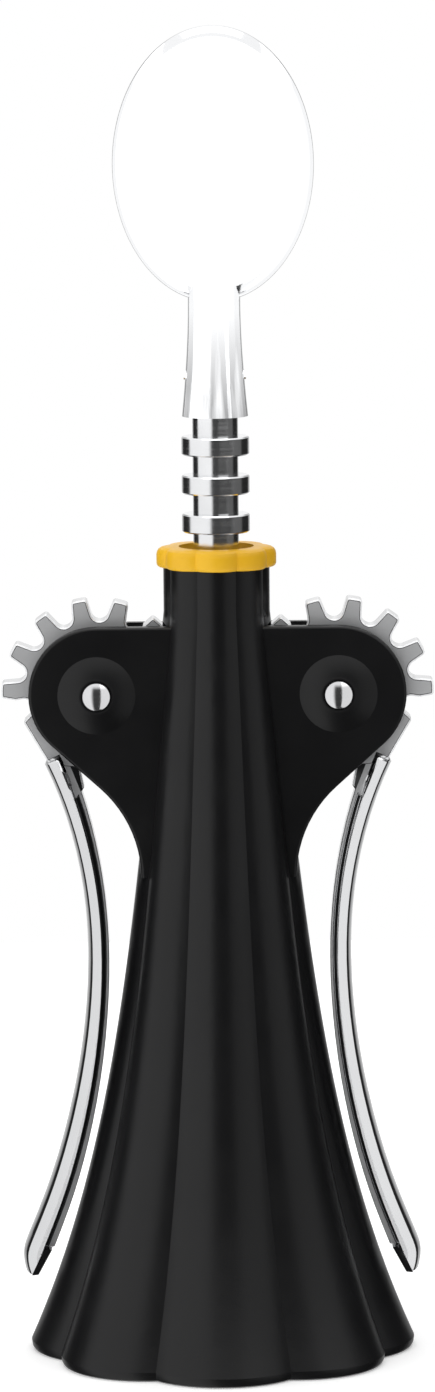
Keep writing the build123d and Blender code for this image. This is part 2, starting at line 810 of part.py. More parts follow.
# ---------------------------------------------------------------- bottle guide
with BuildPart() as bottle_guide:
    with BuildSketch(Plane.XY.offset(guide_mouth)):
        Circle(guide_radius)
    extrude(amount=guide_top - guide_mouth)
    with BuildSketch(Plane.XY.offset(guide_mouth)):
        Circle(bottle_radius)
    extrude(amount=guide_top - seat_thickness - guide_mouth, mode=Mode.SUBTRACT)
    with BuildSketch(Plane.XY.offset(guide_top)):
        Circle(seat_hole_radius)
    extrude(amount=-2 * seat_thickness, mode=Mode.SUBTRACT)
    with BuildSketch(Plane.XY.offset(guide_flange_height)):
        Circle(flange_radius)
        Circle(bottle_radius, mode=Mode.SUBTRACT)
    extrude(amount=guide_flange_thickness)
    with BuildSketch(Plane.XY.offset(guide_flange_height)):
        with PolarLocations(screw_circle, screw_count, start_angle=lobe_angle):
            Circle(screw_radius + screw_hole_clearance)
    extrude(amount=guide_flange_thickness, mode=Mode.SUBTRACT)
    mouth_edge = bottle_guide.edges().filter_by(GeomType.CIRCLE).group_by(Axis.Z)[0]
    chamfer(mouth_edge.sort_by(SortBy.RADIUS)[0], mouth_chamfer)
bottle_guide.part.label = "bottle_guide"
export_step(bottle_guide.part, "parts/bottle_guide.step")

with BuildPart() as guide_screws:
    with BuildSketch(Plane.XY.offset(guide_flange_height)):
        with PolarLocations(screw_circle, screw_count, start_angle=lobe_angle):
            Circle(screw_radius)
    extrude(amount=guide_flange_thickness + screw_depth - screw_end_gap)
    with BuildSketch(Plane.XY.offset(guide_flange_height)):
        with PolarLocations(screw_circle, screw_count, start_angle=lobe_angle):
            Circle(screw_head_radius)
    extrude(amount=-screw_head_height)
    head_rims = guide_screws.edges().filter_by(GeomType.CIRCLE).group_by(Axis.Z)[0]
    fillet(head_rims, screw_head_round)
    # cross recess
    with BuildSketch(Plane.XY.offset(guide_flange_height - screw_head_height)):
        with PolarLocations(screw_circle, screw_count, start_angle=lobe_angle):
            Rectangle(2 * screw_slot_reach, screw_slot_width)
            Rectangle(screw_slot_width, 2 * screw_slot_reach)
    extrude(amount=screw_slot_depth, mode=Mode.SUBTRACT)
guide_screws.part.label = "guide_screws"
export_step(guide_screws.part, "parts/guide_screws.step")
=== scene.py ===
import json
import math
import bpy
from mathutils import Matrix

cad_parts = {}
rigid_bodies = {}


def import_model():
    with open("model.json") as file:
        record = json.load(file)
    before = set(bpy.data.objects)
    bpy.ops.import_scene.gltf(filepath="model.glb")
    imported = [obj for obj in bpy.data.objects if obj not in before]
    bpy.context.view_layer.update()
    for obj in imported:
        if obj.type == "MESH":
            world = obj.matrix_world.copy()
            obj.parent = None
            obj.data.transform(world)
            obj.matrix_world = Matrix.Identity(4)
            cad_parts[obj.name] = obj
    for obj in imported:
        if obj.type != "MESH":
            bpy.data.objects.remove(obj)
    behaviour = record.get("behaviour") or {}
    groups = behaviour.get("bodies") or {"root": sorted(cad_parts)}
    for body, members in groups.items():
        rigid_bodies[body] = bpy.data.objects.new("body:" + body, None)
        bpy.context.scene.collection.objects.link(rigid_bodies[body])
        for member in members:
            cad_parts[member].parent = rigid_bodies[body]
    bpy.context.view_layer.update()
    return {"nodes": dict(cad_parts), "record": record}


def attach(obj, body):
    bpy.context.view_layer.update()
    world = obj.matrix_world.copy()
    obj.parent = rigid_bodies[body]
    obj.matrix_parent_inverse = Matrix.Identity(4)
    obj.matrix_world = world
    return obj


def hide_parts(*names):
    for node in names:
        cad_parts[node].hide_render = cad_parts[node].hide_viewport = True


bl_info = {
    "name": "Wing Corkscrew",
    "version": (1, 0, 0),
    "blender": (4, 5, 0),
    "location": "View3D > Sidebar > Corkscrew",
    "description": "Finishes a wing corkscrew piece by piece and sets up its studio",
    "category": "Object",
}

import bmesh
import bpy
from bpy.props import FloatProperty, FloatVectorProperty, PointerProperty
from mathutils import Matrix, Vector

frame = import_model()

# Lengths are in metres. X and Y are measured from the worm's axis, Z from the floor.
TOLERANCE = 0.00001
WELD_GAP = 0.000002
SHORTEST_EDGE = 0.000001

# Pivot pins: where they stand, the radius of their heads, the balls of their domes, the
# angle and the bevel of the domes' rims, and the ring that is dulled round each head.
PIN_X = 0.0222
PIN_Z = 0.1229
PIN_HEAD = 0.0029
DOME_RADIUS = 0.005366
DOME_CENTRE = 0.002434
RIM_ANGLE = 40
RIM_BEVEL = 0.00018
PRESS_RING = 0.0006

# Levers: distances of their faces from the middle plane, and heights along them.
LEVER_FACE = 0.0026
LEVER_FACE_BAND = 0.0002
LEVER_EDGE_BAND = 0.00032
FLANGE_EDGE = 0.0055
PAD_TOP = 0.0196
ARM_TOP = 0.1065

# The patch of painted shadow on a lever's web, where shade falls between the arm and the lug: its
# top, its foot and its slanting side, as two points.
WEB_TOP = 0.1095
WEB_FOOT = 0.0995
WEB_LINE = ((0.0270, 0.1091), (0.0232, 0.0995))

# How squarely a face of a lever looks along Y: on its flat faces, and on its pad.
FLAT_LEAN = 0.98
PAD_LEAN = 0.88

# Angles between two faces of a lever, in degrees: in a flat, at the crown's edges, and at
# sharp edges.
JOIN_ANGLE = 0.02
CROWN_ANGLES = (22, 38)
SHARP_ANGLE = 60

# Handle: the half axes of its oval, how far from it a point may lie as a share of them, the
# oval's middle, and where the neck carries painted dark reflections.
OVAL_SIZE = (0.0184, 0.0062, 0.0252)
OVAL_BAND = 0.01
OVAL_Z = frame["nodes"]["turning_head"].bound_box[1][2] - OVAL_SIZE[2]
NECK_FOOT = 0.172
NECK_TOP = 0.193

# Edges sharper than this stay crisp, in degrees.
CRISP_ANGLE = 24
LEVER_CRISP_ANGLE = 36
WORM_CRISP_ANGLE = 40

# Material slots on a lever, on a pin and on the handle. On a lever the third slot is a painted
# highlight and the fourth painted shade; on a pin the second slot is painted shadow.
POLISHED, SATIN, PAINTED_HIGHLIGHT, PAINTED_SHADE = range(4)
PIN_RIM_SHADOW = 1
HANDLE_NECK = 1

# Colours of the pins, the worm and the hidden pieces, and of the painted shadows and dark
# reflections on the levers and pins. The handle's plate is the plating's colour made this much
# brighter, as a painted highlight.
BRASS = (0.62, 0.42, 0.17)
BUSH_PLASTIC = (0.72, 0.70, 0.63)
PIN_STEEL = (0.74, 0.74, 0.75)
WORM_STEEL = (0.68, 0.68, 0.70)
RING_ZINC = (0.55, 0.56, 0.58)
SCREW_ZINC = (0.60, 0.61, 0.62)
SHADOW = (0.012, 0.012, 0.013)
HANDLE_PAINTED_SHINE = 1.26

# Brightness of the studio by bearing in degrees: 0 is the camera's side, 90 the right.
CARDS = (
    (-180, 1.0), (-170, 0.75), (-149, 0.4), (-143, 0.02), (-102, 0.02), (-95, 0.95),
    (-22, 1.0), (-12, 0.05), (50, 0.05), (64, 0.12), (96, 0.12), (102, 0.02), (143, 0.02),
    (149, 0.4), (170, 0.75), (180, 1.0),
)

# White cards that only some pieces mirror. Each row has the first letters of the pieces'
# names, the card's name, its place, its size and its brightness. AIMS has what they face.
CARD_LIGHTS = (
    ("oval_handle", "handle_front", (0, -0.6, 0.2), (2.2, 2.0), 1.15),
    ("oval_handle", "handle_left", (-0.55, 0.05, 0.1), (1.3, 2.0), 1.0),
    ("oval_handle", "handle_right", (0.55, 0.05, 0.1), (1.3, 2.0), 1.0),
    ("ringed_spindle", "rack_right", (0.193, -0.23, 0.33), (0.36, 0.4), 0.55),
    ("wing_lever", "lever_right", (0.99, -0.156, 0.1), (0.46, 2.0), 0.9),
    ("hinge_", "pin_right", (0.37, -0.47, 0.12), (0.5, 1.8), 0.9),
    ("fluted_bell", "bell_right", (0.72, -0.47, 0.15), (0.9, 1.4), 0.45),
)
AIMS = {
    "oval_handle": (0, 0, 0.2),
    "ringed_spindle": (0, 0, 0.16),
    "wing_lever": (0, 0, 0.1),
    "hinge_": (0, 0, 0.12),
    "fluted_bell": (0, 0, 0.12),
}

# The lamp overhead: its name, its place, what it faces and its size.
TOP_SOFTBOX = ("softbox_top", (0, 0.1, 1.1), (0, 0, 0.1), (0.8, 0.8))

# Half the side of the floor.
FLOOR_REACH = 0.45

# Z of the direction in which the ring of cards gives way to the tent's white top.
TENT_EDGE = (0.40, 0.60)

# Camera: the film's height in millimetres, the view's height and the focal length in
# pixels, and the roll in degrees.
FILM_HEIGHT = 24.0
VIEW_PIXELS = 1392
FOCAL_PIXELS = 6854
CAMERA_ROLL = -0.5


# ---------------------------------------------------------------- settings
class BellSettings(bpy.types.PropertyGroup):
    colour: FloatVectorProperty(
        name="Bell Colour",
        description="Colour of the moulded bell and of the guide inside it",
        subtype="COLOR",
        default=(0.0045, 0.0045, 0.0050),
        min=0,
        max=1,
    )
    roughness: FloatProperty(
        name="Bell Roughness",
        description="How satin the moulded plastic is",
        subtype="FACTOR",
        default=0.33,
        min=0,
        max=1,
    )
    grain: FloatProperty(
        name="Grain Depth",
        description="Height of the mould's fine spark grain",
        subtype="DISTANCE",
        unit="LENGTH",
        default=0.000012,
        min=0,
        max=0.001,
    )


class CollarSettings(bpy.types.PropertyGroup):
    colour: FloatVectorProperty(
        name="Collar Colour",
        description="Colour of the collar on top of the bell",
        subtype="COLOR",
        default=(1.0, 0.52, 0.02),
        min=0,
        max=1,
    )
    roughness: FloatProperty(
        name="Collar Roughness",
        description="How satin the collar is",
        subtype="FACTOR",
        default=0.36,
        min=0,
        max=1,
    )


class PlatingSettings(bpy.types.PropertyGroup):
    colour: FloatVectorProperty(
        name="Plating Colour",
        description="Colour of the chromium plate",
        subtype="COLOR",
        default=(0.74, 0.745, 0.755),
        min=0,
        max=1,
    )
    polish: FloatProperty(
        name="Polished Roughness",
        description="Roughness of the handle, a little more on the levers and the rack",
        subtype="FACTOR",
        default=0.07,
        min=0,
        max=1,
    )
    satin: FloatProperty(
        name="Satin Roughness",
        description="Roughness of the flat faces of the gear sectors and levers",
        subtype="FACTOR",
        default=0.34,
        min=0,
        max=1,
    )
    edge_round: FloatProperty(
        name="Edge Rounding",
        description="Width of the rounding that plating leaves on the arms' sharp edges",
        subtype="DISTANCE",
        unit="LENGTH",
        default=0.00012,
        min=0,
        max=0.001,
    )
    crown_round: FloatProperty(
        name="Crown Rounding",
        description="Width of the rounding between a lever's back and its bevels",
        subtype="DISTANCE",
        unit="LENGTH",
        default=0.0003,
        min=0,
        max=0.001,
    )
    gear_chamfer: FloatProperty(
        name="Gear Chamfer",
        description="Width of the chamfer on the sharp edges of the gear sectors",
        subtype="DISTANCE",
        unit="LENGTH",
        default=0.0003,
        min=0,
        max=0.001,
    )
    line_width: FloatProperty(
        name="Line Width",
        # The dark line is a painted reflection.
        description="Width of the dark line round the flat faces of the gear sectors",
        subtype="DISTANCE",
        unit="LENGTH",
        default=0.00012,
        min=0,
        max=0.001,
    )


class StageSettings(bpy.types.PropertyGroup):
    camera_distance: FloatProperty(
        name="Camera Distance",
        description="From the worm's axis to the camera, along the floor",
        subtype="DISTANCE",
        unit="LENGTH",
        default=1.25,
        min=0.3,
        max=5,
    )
    camera_height: FloatProperty(
        name="Camera Height",
        description="Height of the camera above the floor",
        subtype="DISTANCE",
        unit="LENGTH",
        default=0.288,
        min=0,
        max=3,
    )
    target_height: FloatProperty(
        name="Target Height",
        description="Height of the point that the camera looks at",
        subtype="DISTANCE",
        unit="LENGTH",
        default=0.122,
        min=0,
        max=1,
    )
    card_light: FloatProperty(
        name="Card Light",
        description="Brightness of the white cards that single pieces mirror",
        default=1.0,
        min=0,
        max=20,
    )
    top_light: FloatProperty(
        name="Top Light",
        description="Power of the softbox overhead",
        subtype="POWER",
        default=2.5,
        min=0,
        max=500,
    )


# ---------------------------------------------------------------- materials
def start_material(name):
    """An empty node material with a Principled shader wired to its output."""
    material = bpy.data.materials.new(name)
    material.use_nodes = True
    tree = material.node_tree
    tree.nodes.clear()
    shader = tree.nodes.new("ShaderNodeBsdfPrincipled")
    output = tree.nodes.new("ShaderNodeOutputMaterial")
    tree.links.new(shader.outputs["BSDF"], output.inputs["Surface"])
    return material, tree, shader


def object_noise(tree, scale, detail=2.0, stretch=(1, 1, 1)):
    """A noise pattern fixed to the piece, stretched along an axis if asked."""
    source = tree.nodes.new("ShaderNodeTexCoord")
    mapping = tree.nodes.new("ShaderNodeMapping")
    mapping.inputs["Scale"].default_value = stretch
    noise = tree.nodes.new("ShaderNodeTexNoise")
    noise.inputs["Scale"].default_value = scale
    noise.inputs["Detail"].default_value = detail
    tree.links.new(source.outputs["Object"], mapping.inputs["Vector"])
    tree.links.new(mapping.outputs["Vector"], noise.inputs["Vector"])
    return noise.outputs["Fac"]


def spread(tree, value, low, high, edge_low=0.3, edge_high=0.7):
    """Maps a pattern between two values."""
    node = tree.nodes.new("ShaderNodeMapRange")
    node.inputs["From Min"].default_value = edge_low
    node.inputs["From Max"].default_value = edge_high
    node.inputs["To Min"].default_value = low
    node.inputs["To Max"].default_value = high
    tree.links.new(value, node.inputs["Value"])
    return node.outputs["Result"]


def tint(tree, value, dark, light):
    """Mixes two colours by a pattern."""
    node = tree.nodes.new("ShaderNodeMix")
    node.data_type = "RGBA"
    node.inputs["A"].default_value = (*dark, 1)
    node.inputs["B"].default_value = (*light, 1)
    tree.links.new(value, node.inputs["Factor"])
    return node.outputs["Result"]


def relief(tree, shader, value, distance):
    """Gives the shader's normal fine relief."""
    node = tree.nodes.new("ShaderNodeBump")
    node.inputs["Strength"].default_value = 1
    node.inputs["Distance"].default_value = distance
    tree.links.new(value, node.inputs["Height"])
    tree.links.new(node.outputs["Normal"], shader.inputs["Normal"])


def combine(tree, operation, first, second=None):
    """One step of arithmetic on patterns or numbers."""
    node = tree.nodes.new("ShaderNodeMath")
    node.operation = operation
    for number, value in enumerate((first, second)):
        if value is None:
            continue
        if isinstance(value, float):
            node.inputs[number].default_value = value
        else:
            tree.links.new(value, node.inputs[number])
    return node.outputs["Value"]


def coordinates(tree, kind):
    """The X, Y and Z of a point on the piece, or of a direction in the world."""
    source = tree.nodes.new("ShaderNodeTexCoord")
    parts = tree.nodes.new("ShaderNodeSeparateXYZ")
    tree.links.new(source.outputs[kind], parts.inputs["Vector"])
    return parts.outputs


def shade(colour, factor):
    """A colour made darker or lighter, up to white."""
    return tuple(min(1.0, channel * factor) for channel in colour)


def moulded_plastic(name, colour, roughness, grain):
    """Satin injection-moulded plastic with a fine spark grain."""
    material, tree, shader = start_material(name)
    cloud = object_noise(tree, 38.0, 3.0)
    colours = tint(tree, spread(tree, cloud, 0, 1), shade(colour, 0.9), shade(colour, 1.12))
    tree.links.new(colours, shader.inputs["Base Color"])
    shader.inputs["Specular IOR Level"].default_value = 0.35
    wear = object_noise(tree, 120.0, 4.0)
    tree.links.new(
        spread(tree, wear, roughness - 0.03, roughness + 0.04), shader.inputs["Roughness"]
    )
    relief(tree, shader, object_noise(tree, 3200.0, 2.0), grain)
    return material


def press_ring(tree, shader):
    """Dulls the plastic in a narrow ring round each pivot pin."""
    place = coordinates(tree, "Object")
    across = combine(tree, "SUBTRACT", combine(tree, "ABSOLUTE", place["X"]), PIN_X)
    along = combine(tree, "SUBTRACT", place["Z"], PIN_Z)
    squares = [combine(tree, "MULTIPLY", length, length) for length in (across, along)]
    reach = combine(tree, "SQRT", combine(tree, "ADD", *squares))
    dull = spread(tree, reach, 1, 0, PIN_HEAD, PIN_HEAD + PRESS_RING)
    plain = shader.inputs["Roughness"].links[0].from_socket
    tree.links.new(combine(tree, "MAXIMUM", plain, dull), shader.inputs["Roughness"])


def plated_metal(name, colour, roughness, unevenness, metallic=1.0, lines=0.0):
    """Chromium plate, brushed along Y where it is given lines of some depth."""
    direction = (1, 0.2, 1) if lines else (1, 1, 1)
    material, tree, shader = start_material(name)
    shader.inputs["Metallic"].default_value = metallic
    cloud = object_noise(tree, 60.0, 2.0)
    colours = tint(tree, spread(tree, cloud, 0, 1), shade(colour, 0.96), colour)
    tree.links.new(colours, shader.inputs["Base Color"])
    streaks = object_noise(tree, 260.0, 5.0, direction)
    tree.links.new(
        spread(tree, streaks, roughness - unevenness, roughness + unevenness),
        shader.inputs["Roughness"],
    )
    if lines:
        relief(tree, shader, object_noise(tree, 900.0, 3.0, direction), lines)
    return material


def turned_metal(name, colour, roughness, metallic=1.0, lines=0.000004):
    """Metal turned on a lathe, with faint rings along its length."""
    material, tree, shader = start_material(name)
    shader.inputs["Metallic"].default_value = metallic
    cloud = object_noise(tree, 90.0, 3.0)
    colours = tint(tree, spread(tree, cloud, 0, 1), shade(colour, 0.9), shade(colour, 1.05))
    tree.links.new(colours, shader.inputs["Base Color"])
    rings = object_noise(tree, 1400.0, 2.0, (0.02, 0.02, 1))
    tree.links.new(
        spread(tree, rings, roughness - 0.04, roughness + 0.05), shader.inputs["Roughness"]
    )
    relief(tree, shader, rings, lines)
    return material


# ---------------------------------------------------------------- mesh helpers
def body_of_node(node):
    """The body that a node moves with."""
    for body, members in frame["record"]["behaviour"]["bodies"].items():
        if node in members:
            return body
    raise RuntimeError(f"no body holds {node}")


def welded(node):
    """A bmesh of a node's shape with its loose triangles joined."""
    shape = bmesh.new()
    shape.from_mesh(frame["nodes"][node].data)
    bmesh.ops.remove_doubles(shape, verts=shape.verts[:], dist=WELD_GAP)
    bmesh.ops.dissolve_degenerate(shape, dist=SHORTEST_EDGE, edges=shape.edges[:])
    return shape


def smooth_by_angle(shape, angle):
    """Smooth faces, with the edges sharper than the angle kept crisp."""
    limit = math.radians(angle)
    for face in shape.faces:
        face.smooth = True
    for edge in shape.edges:
        edge.smooth = len(edge.link_faces) == 2 and edge.calc_face_angle(0) < limit


def join_flat_faces(shape):
    """Turns the triangles of each flat face into one face."""
    bmesh.ops.dissolve_limit(
        shape,
        angle_limit=math.radians(JOIN_ANGLE),
        use_dissolve_boundaries=False,
        verts=shape.verts[:],
        edges=shape.edges[:],
        delimit={"NORMAL"},
    )


def bevel_edges(shape, edges, width, segments):
    """A bevel of full width, also where it meets a short edge."""
    return bmesh.ops.bevel(
        shape,
        geom=edges,
        offset=width,
        offset_type="OFFSET",
        affect="EDGES",
        segments=segments,
        profile=0.5,
        material=-1,
        clamp_overlap=False,
    )


def round_edges(
    shape,
    width,
    sharper_than,
    blunter_than=180,
    lowest=-math.inf,
    highest=math.inf,
    widest=math.inf,
    segments=3,
):
    """Bevels the edges between two angles and two heights, and not too far out."""
    edges = []
    for edge in shape.edges:
        if len(edge.link_faces) != 2:
            continue
        middle = (edge.verts[0].co + edge.verts[1].co) / 2
        if (
            sharper_than < math.degrees(edge.calc_face_angle(0)) < blunter_than
            and lowest < middle.z < highest
            and abs(middle.y) < widest
        ):
            edges.append(edge)
    bevel_edges(shape, edges, width, segments)


def true_normals(mesh, surface_normal):
    """Gives the faces of a known curved surface its own normals, free of the facets."""
    normals = [Vector(corner.vector) for corner in mesh.corner_normals]
    for face in mesh.polygons:
        exact = [surface_normal(mesh.vertices[index].co) for index in face.vertices]
        if all(exact):
            for corner, normal in zip(face.loop_indices, exact):
                normals[corner] = normal
    mesh.normals_split_custom_set(normals)


def oval_normal(point):
    """Normal of the handle's oval, or nothing away from it."""
    reach = (point.x, point.y, point.z - OVAL_Z)
    span = Vector((length / half for length, half in zip(reach, OVAL_SIZE)))
    if abs(span.length - 1) > OVAL_BAND:
        return None
    return Vector((length / half for length, half in zip(span, OVAL_SIZE))).normalized()


def dome_normal(point):
    """Normal of a pivot pin's or a cap's dome, or nothing away from it."""
    side, face = math.copysign(1, point.x), math.copysign(1, point.y)
    reach = point - Vector((side * PIN_X, face * DOME_CENTRE, PIN_Z))
    if abs(reach.length - DOME_RADIUS) > TOLERANCE or abs(point.y) < DOME_RADIUS:
        return None
    return reach.normalized()


def finish_piece(shape, name, node, materials, surface_normal=None):
    """Makes the object, puts it on its body and lets it stand for the node."""
    mesh = bpy.data.meshes.new(name)
    shape.to_mesh(mesh)
    shape.free()
    if surface_normal:
        true_normals(mesh, surface_normal)
    for material in materials:
        mesh.materials.append(material)
    piece = bpy.data.objects.new(name, mesh)
    bpy.context.scene.collection.objects.link(piece)
    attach(piece, body_of_node(node))
    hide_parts(node)


def dress(node, name, material, angle=CRISP_ANGLE):
    """A smooth-shaded stand-in for a node."""
    shape = welded(node)
    smooth_by_angle(shape, angle)
    finish_piece(shape, name, node, [material])


# ---------------------------------------------------------------- pieces
class CORKSCREW_OT_bell(bpy.types.Operator):
    """Fluted bell with its two lugs"""

    bl_idname = "corkscrew.bell"
    bl_label = "Bell"

    def execute(self, context):
        bell = context.scene.corkscrew_bell
        plastic = moulded_plastic("bell_plastic", bell.colour, bell.roughness, bell.grain)
        tree = plastic.node_tree
        press_ring(tree, tree.nodes["Principled BSDF"])
        dress("skirt_body", "fluted_bell", plastic)
        return {"FINISHED"}


class CORKSCREW_OT_collar(bpy.types.Operator):
    """Coloured collar on the neck, and the bush below it"""

    bl_idname = "corkscrew.collar"
    bl_label = "Collar"

    def execute(self, context):
        collar = context.scene.corkscrew_collar
        plastic = moulded_plastic("collar_plastic", collar.colour, collar.roughness, 0.000006)
        dress("top_collar", "neck_collar", plastic)
        natural = moulded_plastic("bush_plastic", BUSH_PLASTIC, 0.35, 0.000004)
        dress("guide_bush", "rack_bush", natural)
        return {"FINISHED"}


class CORKSCREW_OT_levers(bpy.types.Operator):
    """Wing levers with their gear sectors and bushes"""

    bl_idname = "corkscrew.levers"
    bl_label = "Levers"

    def execute(self, context):
        plating = context.scene.corkscrew_plating
        polished = plated_metal("lever_polish", plating.colour, plating.polish + 0.02, 0.02)
        satin = plated_metal(
            "lever_satin",
            shade(plating.colour, 0.85),
            plating.satin,
            0.05,
            metallic=0.3,
            lines=0.000004,
        )
        # A brighter, less metallic copy of the plating: a painted highlight along the flanges'
        # sides and on the gear's chamfers.
        painted_highlight = plated_metal(
            "lever_painted_highlight", shade(plating.colour, 1.3), 0.28, 0.04, metallic=0.2
        )
        # Near-black plate that paints shade and dark reflections on the levers: on the pads, in
        # the grooves, on the web and round the gear's faces.
        painted_shade = plated_metal("lever_painted_shade", SHADOW, 0.3, 0.04, metallic=0.2)
        brass = turned_metal("bush_brass", BRASS, 0.3)
        for side in ("left", "right"):
            shape = welded(f"lever_{side}")
            join_flat_faces(shape)
            self.divide_web(shape)
            round_edges(shape, plating.crown_round, *CROWN_ANGLES)
            round_edges(shape, plating.gear_chamfer, SHARP_ANGLE, lowest=ARM_TOP, segments=1)
            round_edges(
                shape, plating.edge_round, SHARP_ANGLE, highest=ARM_TOP, widest=FLANGE_EDGE
            )
            for face in shape.faces:
                face.material_index = self.surface_of(face)
            self.outline_gear(shape, plating.line_width)
            smooth_by_angle(shape, LEVER_CRISP_ANGLE)
            finish_piece(
                shape,
                f"wing_lever_{side}",
                f"lever_{side}",
                [polished, satin, painted_highlight, painted_shade],
            )
            dress(f"lever_bush_{side}", f"pivot_bush_{side}", brass)
        return {"FINISHED"}

    def divide_web(self, shape):
        """Cuts the web's flat faces along the borders of its patch of painted shadow."""
        (outer, upper), (inner, lower) = WEB_LINE
        for side in (-1, 1):
            slope = Vector((upper - lower, 0, side * (inner - outer))).normalized()
            for place, normal in (
                (Vector((0, 0, WEB_TOP)), Vector((0, 0, 1))),
                (Vector((side * outer, 0, upper)), slope),
            ):
                faces = [face for face in shape.faces if self.on_web(face, side)]
                if not faces:
                    continue
                edges = dict.fromkeys(edge for face in faces for edge in face.edges)
                corners = dict.fromkeys(corner for face in faces for corner in face.verts)
                bmesh.ops.bisect_plane(
                    shape, geom=[*corners, *edges, *faces], plane_co=place, plane_no=normal
                )

    def on_web(self, face, side):
        """Whether a flat face of the lever on one side reaches into the height of the web's
        painted shadow.
        """
        middle = face.calc_center_median()
        heights = [corner.co.z for corner in face.verts]
        return (
            abs(face.normal.y) > FLAT_LEAN
            and abs(abs(middle.y) - LEVER_FACE) < LEVER_FACE_BAND
            and side * middle.x > 0
            and min(heights) < WEB_TOP
            and max(heights) > WEB_FOOT
        )

    def surface_of(self, face):
        """The material that a face of the lever takes."""
        lean = abs(face.normal.y)
        middle = face.calc_center_median()
        level = abs(middle.y)
        if lean < FLAT_LEAN:
            # The pads' faces get painted shade: the dark reflection of the black bell beside
            # them.
            if lean > PAD_LEAN and middle.z < PAD_TOP:
                return PAINTED_SHADE
            levels = [level, *(abs(corner.co.y) for corner in face.verts)]
            lowest, highest = min(levels), max(levels)
            # Narrow faces along the flat faces: a painted highlight on the gear's chamfers,
            # painted shade on the arm.
            if lowest > LEVER_FACE - LEVER_EDGE_BAND and highest < LEVER_FACE + TOLERANCE:
                return PAINTED_HIGHLIGHT if middle.z > ARM_TOP else PAINTED_SHADE
            return POLISHED
        # Flat faces standing out from the face plane, the flanges' sides, take the painted
        # highlight; those sunk below it, in the grooves, take painted shade.
        if level > LEVER_FACE + LEVER_FACE_BAND:
            return PAINTED_HIGHLIGHT
        if level < LEVER_FACE - LEVER_FACE_BAND:
            return PAINTED_SHADE
        # On the web, the flat faces inside the slanting border get painted shadow, where shade
        # falls between the arm and the lug.
        (outer, upper), (inner, lower) = WEB_LINE
        border = inner + (outer - inner) * (middle.z - lower) / (upper - lower)
        if WEB_FOOT < middle.z < WEB_TOP and abs(middle.x) < border:
            return PAINTED_SHADE
        return SATIN

    def outline_gear(self, shape, width):
        """A painted dark reflection line along the border of the gear's satin faces."""
        satin = [
            face
            for face in shape.faces
            if face.material_index == SATIN and face.calc_center_median().z > WEB_TOP
        ]
        border = bmesh.ops.inset_region(shape, faces=satin, thickness=width, use_boundary=True)
        for face in border["faces"]:
            face.material_index = PAINTED_SHADE


class CORKSCREW_OT_pins(bpy.types.Operator):
    """Pivot pins with domed heads, and the caps on their far ends"""

    bl_idname = "corkscrew.pins"
    bl_label = "Pivot Pins"

    def execute(self, context):
        steel = turned_metal("pin_steel", PIN_STEEL, 0.12, lines=0.000001)
        # Near-black steel painted on the domes' rims as the shadow in the gap round each head.
        rim = turned_metal("pin_rim_painted_shadow", SHADOW, 0.35, metallic=0.5)
        for kind, name in (("pivot_pin", "hinge_pin"), ("pin_cap", "hinge_cap")):
            for side in ("left", "right"):
                shape = welded(f"{kind}_{side}")
                self.turn_down_rim(shape)
                smooth_by_angle(shape, CRISP_ANGLE)
                finish_piece(
                    shape, f"{name}_{side}", f"{kind}_{side}", [steel, rim], dome_normal
                )
        return {"FINISHED"}

    def turn_down_rim(self, shape):
        """Bevels the edge between the dome and its rim, and paints it dark as the shadow in the
        gap round the head.
        """
        edges = [
            edge
            for edge in shape.edges
            if len(edge.link_faces) == 2
            and math.degrees(edge.calc_face_angle(0)) > RIM_ANGLE
            and all(dome_normal(end.co) for end in edge.verts)
        ]
        bevel = bevel_edges(shape, edges, RIM_BEVEL, segments=2)
        if not bevel["faces"]:
            raise RuntimeError("the pins have no rim to bevel")
        for face in bevel["faces"]:
            face.material_index = PIN_RIM_SHADOW


class CORKSCREW_OT_rack(bpy.types.Operator):
    """Ringed spindle with its stop ring"""

    bl_idname = "corkscrew.rack"
    bl_label = "Rack Spindle"

    def execute(self, context):
        plating = context.scene.corkscrew_plating
        # The rack's plate is the plating's colour made brighter, as a painted highlight.
        chrome = turned_metal("rack_chrome", shade(plating.colour, 1.2), plating.polish + 0.09)
        dress("rack_spindle", "ringed_spindle", chrome)
        zinc = turned_metal("stop_zinc", RING_ZINC, 0.3)
        dress("stop_ring", "spindle_stop", zinc)
        return {"FINISHED"}


class CORKSCREW_OT_head(bpy.types.Operator):
    """Turning handle with its cross pin"""

    bl_idname = "corkscrew.head"
    bl_label = "Turning Handle"

    def execute(self, context):
        plating = context.scene.corkscrew_plating
        bright = shade(plating.colour, HANDLE_PAINTED_SHINE)
        chrome = plated_metal("head_chrome", bright, plating.polish, 0.02)
        neck = plated_metal("neck_chrome_painted_reflections", bright, plating.polish, 0.02)
        # The neck's plate carries painted dark reflections.
        self.paint_neck_reflections(neck.node_tree, shade(plating.colour, 0.36), bright)
        shape = welded("turning_head")
        for face in shape.faces:
            middle = face.calc_center_median()
            if middle.z < OVAL_Z and not oval_normal(middle):
                face.material_index = HANDLE_NECK
        smooth_by_angle(shape, CRISP_ANGLE)
        finish_piece(shape, "oval_handle", "turning_head", [chrome, neck], oval_normal)
        dress("head_pin", "oval_handle_pin", chrome)
        return {"FINISHED"}

    def paint_neck_reflections(self, tree, dark, light):
        """Painted dark reflections: streaks along the neck that grow stronger towards its foot.
        """
        place = coordinates(tree, "Object")
        height = spread(tree, place["Z"], 0, 1, NECK_FOOT, NECK_TOP)
        lines = spread(tree, object_noise(tree, 420.0, 3.0, (1, 1, 0.02)), 0, 1, 0.4, 0.72)
        plain = combine(tree, "MAXIMUM", lines, height)
        shader = tree.nodes["Principled BSDF"]
        tree.links.new(tint(tree, plain, dark, light), shader.inputs["Base Color"])


